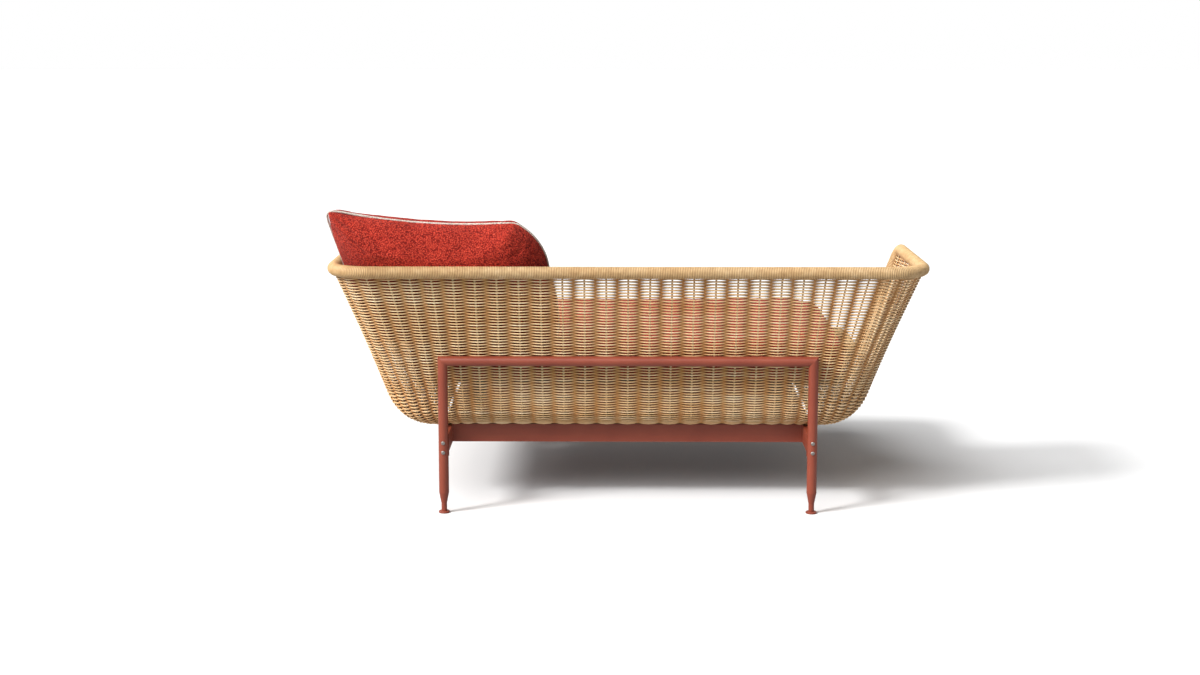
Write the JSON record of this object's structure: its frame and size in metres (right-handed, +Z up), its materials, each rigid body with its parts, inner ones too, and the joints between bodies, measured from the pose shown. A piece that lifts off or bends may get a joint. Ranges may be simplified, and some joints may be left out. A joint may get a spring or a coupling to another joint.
{
  "type": "outdoor daybed",
  "caption": "Low woven outdoor daybed: a flared wicker tub with a wrapped rim, high back and arms and low front on a tube frame, with a seat mattress and a loose pillow.",
  "frame": {"origin": "on the floor under the middle of the daybed's footprint", "axes": "+X along the back, +Y from the high back to the low front, +Z up"},
  "size_m": [1.6199, 1.0317, 0.8381],
  "materials": {
    "frame_paint": "terracotta powder coat, satin",
    "wicker": "synthetic wicker strand, natural tan",
    "rim_wicker": "synthetic wicker strand wound round the rim",
    "aluminium": "tan powder coat on the aluminium carcass",
    "stainless": "stainless fasteners",
    "deck_metal": "dark powder coat",
    "slat": "resin slat, matt brown",
    "mattress": "red outdoor boucle fabric",
    "pillow": "red outdoor boucle fabric",
    "piping": "off-white piping"
  },
  "bodies": {
    "frame": {"rear_leg_left": "frame_paint", "rear_leg_right": "frame_paint", "front_leg_left": "frame_paint", "front_leg_right": "frame_paint", "rear_rail": "frame_paint", "front_rail": "frame_paint", "rear_beam": "frame_paint", "front_beam": "frame_paint", "end_beam_left": "frame_paint", "end_beam_right": "frame_paint", "cross_bar_rear": "frame_paint", "cross_bar_middle": "frame_paint", "cross_bar_front": "frame_paint", "rim_tube": "aluminium", "base_ring": "aluminium", "rim_wrap_back": "rim_wicker", "rim_wrap_front": "rim_wicker", "rim_wrap_rear_corner_left": "rim_wicker", "rim_wrap_rear_corner_right": "rim_wicker", "rim_wrap_arm_left": "rim_wicker", "rim_wrap_arm_right": "rim_wicker", "rim_wrap_front_corner_left": "rim_wicker", "rim_wrap_front_corner_right": "rim_wicker", "back_weave": "wicker", "front_weave": "wicker", "rear_corner_weave_left": "wicker", "rear_corner_weave_right": "wicker", "front_corner_weave_left": "wicker", "front_corner_weave_right": "wicker", "end_weave_left": "wicker", "end_weave_right": "wicker", "back_stakes": "wicker", "front_stakes": "wicker", "end_stakes_left": "wicker", "end_stakes_right": "wicker", "deck_trestle_rear": "deck_metal", "deck_trestle_middle": "deck_metal", "deck_trestle_front": "deck_metal", "deck_slats": "slat"},
    "mattress": {"seat_mattress": "mattress"},
    "pillow": {"pillow": "pillow", "pillow_piping": "piping"},
    "foot_rear_left": {"foot_rear_left": "frame_paint"},
    "foot_rear_right": {"foot_rear_right": "frame_paint"},
    "foot_front_left": {"foot_front_left": "frame_paint"},
    "foot_front_right": {"foot_front_right": "frame_paint"}
  },
  "joints": [
    {"name": "mattress_lift", "type": "slide", "parent": "frame", "child": "mattress", "axis": [0, 0, 1], "range_m": [0, 0.38]},
    {"name": "pillow_lift", "type": "slide", "parent": "mattress", "child": "pillow", "axis": [0, 0, 1], "range_m": [0, 0.4]},
    {"name": "level_rear_left", "type": "slide", "parent": "frame", "child": "foot_rear_left", "axis": [0, 0, -1], "range_m": [0, 0.01]},
    {"name": "level_rear_right", "type": "slide", "parent": "frame", "child": "foot_rear_right", "axis": [0, 0, -1], "range_m": [0, 0.01]},
    {"name": "level_front_left", "type": "slide", "parent": "frame", "child": "foot_front_left", "axis": [0, 0, -1], "range_m": [0, 0.01]},
    {"name": "level_front_right", "type": "slide", "parent": "frame", "child": "foot_front_right", "axis": [0, 0, -1], "range_m": [0, 0.01]}
  ]
}
